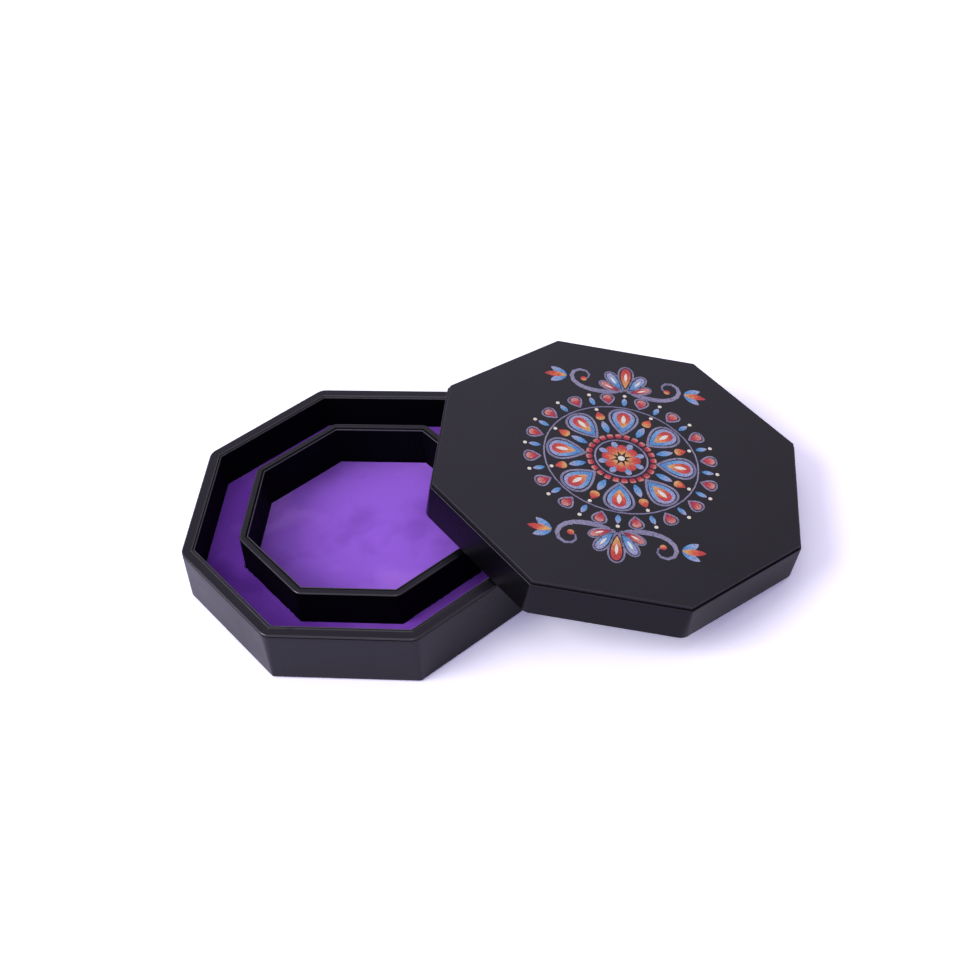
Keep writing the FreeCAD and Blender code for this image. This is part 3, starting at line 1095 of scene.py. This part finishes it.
@dataclass(frozen=True)
class Motif:
    """One printed mark.

    Attributes:
        shape: how its width runs.
        paint: its ink.
        length: from root to tip.
        width: where it is widest.
        rim: width of its line, where only its edge is printed; 0 where it is filled.
        bend: degrees that it turns to the left along its length.
        late: above 1, it turns more towards its tip.
    """

    shape: Shape
    paint: Paint
    length: float
    width: float
    rim: float = 0.0
    bend: float = 0.0
    late: float = 1.0

    def spot(self, around: float, inset: float) -> tuple[Vector, float]:
        """Find a point of the outline.

        Args:
            around: angle round the motif, 0 at its root, in radians.
            inset: how far inside the outer line the point lies.

        Returns:
            The point, and how far along the motif it is.
        """
        along = (1 - math.cos(around)) / 2
        trim = inset / self.length      # a pointed end takes more, so that its line stays even
        root, tip = (trim * (1.6 if pointed else 1.0) for pointed in self.shape.points())
        along_line = root + along * (1 - root - tip)
        middle, steps = Vector((0, 0, 0)), 24
        for step in range(steps):
            heading = math.radians(self.bend) * ((step + 0.5) / steps * along_line) ** self.late
            ahead = Vector((-math.sin(heading), math.cos(heading), 0))
            middle += ahead * self.length * along_line / steps
        heading = math.radians(self.bend) * along_line ** self.late
        side = Vector((math.cos(heading), math.sin(heading), 0))
        side *= math.copysign(1, math.sin(around))
        reach = max(self.width / 2 - inset, 0.05) * self.shape.share(along)
        return middle + side * reach, along

    def draw(self, mesh: bmesh.types.BMesh, place: Matrix) -> None:
        """Draw the mark flat on the pattern's plane.

        Args:
            mesh: the mesh of its ink.
            place: where its root is and where it points.
        """
        run = mesh.verts.layers.float[RUN]
        dot = self.shape is Shape.BEAD and self.length < 5
        made = bmesh.ops.create_circle(mesh, segments=16 if dot else 40, radius=1.0,
                                       cap_ends=not self.rim)
        loops = [(made["verts"], 0.0)]
        if self.rim:
            edges = dict.fromkeys(edge for vert in made["verts"] for edge in vert.link_edges)
            inner = bmesh.ops.extrude_edge_only(mesh, edges=list(edges))["geom"]
            loops.append(([item for item in inner if isinstance(item, bmesh.types.BMVert)],
                          self.rim))
        for verts, inset in loops:
            for vert in verts:
                around = math.atan2(vert.co.x, vert.co.y) % math.tau
                point, vert[run] = self.spot(around, inset)
                vert.co = place @ point


@dataclass(frozen=True)
class Ring:
    """A motif repeated round a point.

    Attributes:
        motif: the mark.
        count: how many there are.
        reach: from the point to each root.
        first: direction of the first, in degrees; 0 is along the pattern's own Y.
        lean: how far each leans to the left of pointing outwards.
        gap: how far it is moved the way that it points.
        mirrored: whether its mirror image is printed too.
    """

    motif: Motif
    count: int
    reach: float
    first: float = 0.0
    lean: float = 0.0
    gap: float = 0.0
    mirrored: bool = False

    def places(self) -> list[Matrix]:
        """Where each copy's root is.

        Returns:
            One matrix for each copy.
        """
        found = []
        for number in range(self.count):
            turn = math.radians(self.first) + math.tau * number / self.count
            place = (Matrix.Rotation(turn, 4, "Z") @ Matrix.Translation((0, self.reach, 0))
                     @ Matrix.Rotation(math.radians(self.lean), 4, "Z")
                     @ Matrix.Translation((0, self.gap, 0)))
            found.append(place)
            if self.mirrored:
                found.append(Matrix.Scale(-1, 4, (1, 0, 0)) @ place)
        return found


@dataclass
class Ornament:
    """A generic eight-fold rosette with a leaf spray above and below, printed on the lid.

    Attributes:
        middle: where its middle lies on the panel.
        level: level of the panel's top.
        film: thickness of the first ink.
        coat: how much thicker each further ink is.
        sunk: how far the inks reach into the panel.
    """

    middle: tuple[float, float] = (0.8, 4.0)
    level: float = 25.4
    film: float = 0.05
    coat: float = 0.02
    sunk: float = 0.02

    def rosette(self) -> list[Ring]:
        """Rings of the round part, from its hub outwards.

        Returns:
            The rings.
        """
        bead, leaf, petal = Shape.BEAD, Shape.LEAF, Shape.PETAL
        return [
            Ring(Motif(bead, Paint.CREAM, 4.2, 4.2), 1, -2.1),
            Ring(Motif(petal, Paint.CORAL, 9.0, 6.4), 8, 2.9),
            Ring(Motif(petal, Paint.SKY, 8.0, 4.0), 8, 6.6, first=22.5),
            Ring(Motif(bead, Paint.LAVENDER, 33.0, 33.0, rim=1.1), 1, -16.5),
            Ring(Motif(Shape.TILE, Paint.CRIMSON, 3.8, 3.8), 24, 17.6, first=7.5),
            Ring(Motif(petal, Paint.LAVENDER, 25.0, 19.0, rim=1.5), 8, 20.6),
            Ring(Motif(petal, Paint.SKY, 20.2, 14.0), 8, 23.4),
            Ring(Motif(petal, Paint.CORAL, 14.6, 8.6), 8, 27.4),
            Ring(Motif(leaf, Paint.CREAM, 8.0, 2.8), 8, 31.6),
            Ring(Motif(leaf, Paint.SKY, 11.0, 4.4), 8, 22.6, first=22.5),
            Ring(Motif(Shape.DROP, Paint.CORAL, 7.5, 5.8), 8, 34.8, first=22.5),
            Ring(Motif(bead, Paint.CREAM, 2.4, 2.4), 8, 43.2, first=22.5),
            Ring(Motif(bead, Paint.LAVENDER, 94.4, 94.4, rim=0.9), 1, -47.2),
            Ring(Motif(petal, Paint.LAVENDER, 11.0, 9.6, rim=1.1), 16, 48.4, first=11.25),
            Ring(Motif(petal, Paint.CRIMSON, 8.0, 5.8), 16, 49.8, first=11.25),
            Ring(Motif(leaf, Paint.SKY, 7.4, 3.4), 16, 48.6),
            Ring(Motif(bead, Paint.CREAM, 2.4, 2.4), 16, 57.0),
        ]

    def sprays(self) -> list[Ring]:
        """Leaves and scrolls above and below the rosette.

        Returns:
            The rings, each of them above and below.
        """
        found = []
        for fan, length, width, paint in (
                (0.0, 25.0, 10.5, Paint.CORAL), (36.0, 21.0, 9.0, Paint.SKY),
                (68.0, 17.0, 7.6, Paint.CRIMSON)):
            sway = -10.0 if fan else 0.0
            for motif, gap in (
                    (Motif(Shape.PETAL, Paint.LAVENDER, length, width, 1.1, sway), 1.5),
                    (Motif(Shape.PETAL, paint, length * 0.78, width * 0.62, 0.0, sway),
                     1.5 + length * 0.14),
                    (Motif(Shape.LEAF, Paint.CREAM, length * 0.34, width * 0.18, 0.0, sway),
                     1.5 + length * 0.4)):
                found.append(Ring(motif, 2, 61.0, lean=fan, gap=gap, mirrored=fan > 0))
        scroll = Motif(Shape.STROKE, Paint.LAVENDER, 62.0, 4.4, bend=400.0, late=2.6)
        found.append(Ring(scroll, 2, 61.5, lean=-98.0, gap=4.0, mirrored=True))
        bead = Motif(Shape.BEAD, Paint.CORAL, 4.0, 4.0)
        found.append(Ring(bead, 2, 72.0, first=21.0, mirrored=True))
        for heading, length, paint in ((55.0, 12.0, Paint.SKY), (88.0, 14.0, Paint.CORAL),
                                       (121.0, 12.0, Paint.SKY)):
            leaf = Motif(Shape.LEAF, paint, length, 5.0, bend=12.0)
            found.append(Ring(leaf, 2, 78.5, first=28.0, lean=heading - 28.0, gap=0.5,
                              mirrored=True))
        return found

    def build(self, maker: Maker) -> None:
        """Print the ornament, one piece for each ink.

        Args:
            maker: puts pieces on the lid's body.
        """
        meshes = {paint: bmesh.new() for paint in Paint}
        for mesh in meshes.values():
            mesh.verts.layers.float.new(RUN)
        for ring in self.rosette() + self.sprays():
            for place in ring.places():
                ring.motif.draw(meshes[ring.motif.paint], place)
        for coat, (paint, mesh) in enumerate(meshes.items()):
            film = self.film + coat * self.coat
            thickened(mesh, film)
            bmesh.ops.translate(mesh, verts=mesh.verts,
                                vec=(*self.middle, self.level + film - self.sunk))
            maker.piece(paint.value, mesh, INKS[paint].material())


# ---- the studio --------------------------------------------------------------------------------

@dataclass(frozen=True)
class Lamp:
    """A wide, far lamp, whose light is even all over the floor.

    Attributes:
        name: name of the lamp.
        come_from: direction that its light comes from.
        strength: its strength.
        spread: how wide it looks from the object, in degrees.
        colour: colour of its light.
    """

    name: str
    come_from: Spot
    strength: float
    spread: float
    colour: Colour

    def hang(self) -> None:
        """Hang the lamp."""
        data = bpy.data.lights.new(self.name, "SUN")
        data.energy, data.angle, data.color = self.strength, math.radians(self.spread), self.colour
        lamp = in_scene(self.name, data)
        lamp.rotation_euler = Vector(self.come_from).to_track_quat("Z", "Y").to_euler()


@dataclass
class Studio:
    """Pale floor, soft light and the camera.

    Attributes:
        floor_width: width of the floor in metres.
        floor_drop: how far it lies below the tray, so that the two surfaces stay apart.
        lamps: the lamps.
        sky: the sky's colours from straight below to straight above.
        across_sky: what they are multiplied by, from left to right.
        camera_place: where the camera stands, in metres.
        camera_right: direction that is to the right in its picture.
        camera_down: direction that is down.
        camera_ahead: direction that it looks in.
        lens: focal length.
        sensor: width of the sensor.
    """

    floor_width: float = 12.0
    floor_drop: float = 0.0001
    lamps: tuple[Lamp, ...] = (Lamp("key", (-1.0, -0.4, 0.8), 1.65, 36.0, (1.0, 0.985, 1.0)),
                               Lamp("edge", (0.1, -0.72, 0.7), 0.26, 20.0, (0.95, 0.95, 1.0)))
    sky: Stops = ((0.0, (0.8, 0.77, 0.9)), (0.35, (0.8, 0.76, 0.92)), (0.6, (0.57, 0.555, 0.62)),
                  (0.78, (0.5, 0.46, 0.58)), (0.9, (0.8, 0.76, 0.9)), (1.0, (1.0, 0.96, 1.08)))
    across_sky: Stops = ((0.12, (1.0, 1.0, 1.0)), (0.38, (0.48, 0.46, 0.44)))
    camera_place: Spot = (0.164028, -0.638002, 0.6902)
    camera_right: Spot = (0.995105, 0.081186, -0.056352)
    camera_down: Spot = (0.01757, -0.706462, -0.707533)
    camera_ahead: Spot = (-0.097253, 0.70308, -0.70443)
    lens: float = 57.13
    sensor: float = 36.0

    def build(self) -> None:
        """Lay the floor, hang the lamps and set up the camera."""
        self.lay_floor()
        self.light_world()
        for lamp in self.lamps:
            lamp.hang()
        self.set_camera()

    def lay_floor(self) -> None:
        """Lay a wide, level floor, which is not part of the object."""
        mesh = bmesh.new()
        bmesh.ops.create_grid(mesh, x_segments=1, y_segments=1, size=self.floor_width / 2)
        floor = in_scene("studio_floor", as_data("studio_floor", mesh))
        floor.location.z = -self.floor_drop
        floor.data.materials.append(self.paper())

    def paper(self) -> bpy.types.Material:
        """Mix a white paper that keeps soft, faintly violet shadows.

        Returns:
            The material.
        """
        mix = Recipe("studio_paper")
        rays = mix.node("ShaderNodeLightPath").outputs
        seen = rays["Is Camera Ray"]
        for way in ("Is Glossy Ray", "Is Transmission Ray"):
            either = mix.node("ShaderNodeMath", {0: seen, 1: rays[way]}, operation="MAXIMUM")
            seen = either.outputs["Value"]
        shades = [mix.node("ShaderNodeBsdfDiffuse", {"Color": (0.8, 0.8, 0.8, 1.0)})]
        for colour, glow, strength in (
                ((0.86, 0.83, 1.0, 1.0), (0.76, 0.73, 1.0, 1.0), 0.03),
                ((1.33, 1.32, 1.31, 1.0), (0.36, 0.34, 1.0, 1.0), 0.2)):
            matt = mix.node("ShaderNodeBsdfDiffuse", {"Color": colour})
            gleam = mix.node("ShaderNodeEmission", {"Color": glow, "Strength": strength})
            shades.append(mix.node("ShaderNodeAddShader", {0: matt.outputs[0],
                                                           1: gleam.outputs[0]}))
        plain, mirrored, white = shades
        shader = mix.chosen(rays["Is Camera Ray"], mix.chosen(seen, plain, mirrored), white)
        mix.feed(mix.tree.nodes["Material Output"], {"Surface": shader.outputs[0]})
        return mix.material

    def light_world(self) -> None:
        """Surround the object with soft light; a camera sees the world itself as white."""
        world = bpy.data.worlds.new("studio_world")
        bpy.context.scene.world = world
        mix = Mix(world)
        way = mix.node("ShaderNodeTexCoord").outputs["Generated"]
        ways = mix.node("ShaderNodeSeparateXYZ", {0: way}).outputs
        light = mix.node("ShaderNodeVectorMath", {0: mix.blended(ways["Z"], self.sky),
                                                  1: mix.blended(ways["X"], self.across_sky)},
                         operation="MULTIPLY").outputs["Vector"]
        soft = mix.tree.nodes["Background"]
        mix.feed(soft, {"Color": light})
        white = mix.node("ShaderNodeBackground", {"Color": (1.0, 1.0, 1.0, 1.0)})
        seen = mix.node("ShaderNodeLightPath").outputs["Is Camera Ray"]
        shader = mix.chosen(seen, soft, white)
        mix.feed(mix.tree.nodes["World Output"], {"Surface": shader.outputs[0]})

    def set_camera(self) -> None:
        """Put the camera in its place and make it the scene's own."""
        data = bpy.data.cameras.new("camera")
        data.sensor_fit, data.sensor_width, data.lens = "HORIZONTAL", self.sensor, self.lens
        camera = in_scene("camera", data)
        right, down, ahead = map(Vector, (self.camera_right, self.camera_down, self.camera_ahead))
        turn = Matrix((right, -down, -ahead)).transposed().to_4x4()
        camera.matrix_world = Matrix.Translation(self.camera_place) @ turn
        bpy.context.scene.camera = camera


def dress_hidden_boards() -> None:
    """Give the boards and cards inside the wrapping a raw finish."""
    board, card = FIBREBOARD.material(), GREY_CARD.material()
    for name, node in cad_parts.items():
        node.data.materials.clear()
        node.data.materials.append(card if name in CARDS else board)


def main() -> None:
    """Build the tray, the lid and the studio."""
    logging.basicConfig(level=logging.INFO, format="%(name)s: %(message)s")
    bpy.context.scene.view_settings.view_transform = "Standard"
    dress_hidden_boards()
    skin, lining = WALL_SKIN.material(), LINING_SKIN.material()
    # The second finish here is the duller, darker copy that paints shade into creases and grooves.
    rubbed, painted_shade_skin = EDGE_SKIN.material(), GROOVE_PAINTED_SHADE_SKIN.material()
    Tray().build(Maker(Body.TRAY, Matrix.Identity(4)), skin, rubbed, painted_shade_skin, lining)
    lid = Lid()
    lid_maker = Maker(Body.LID, lid.standing())
    lid.build(lid_maker, SKIRT_SKIN.material(), skin, painted_shade_skin, lining, PANEL_SKIN.material())
    Ornament().build(lid_maker)
    Studio().build()


if __name__ == "__main__":
    main()
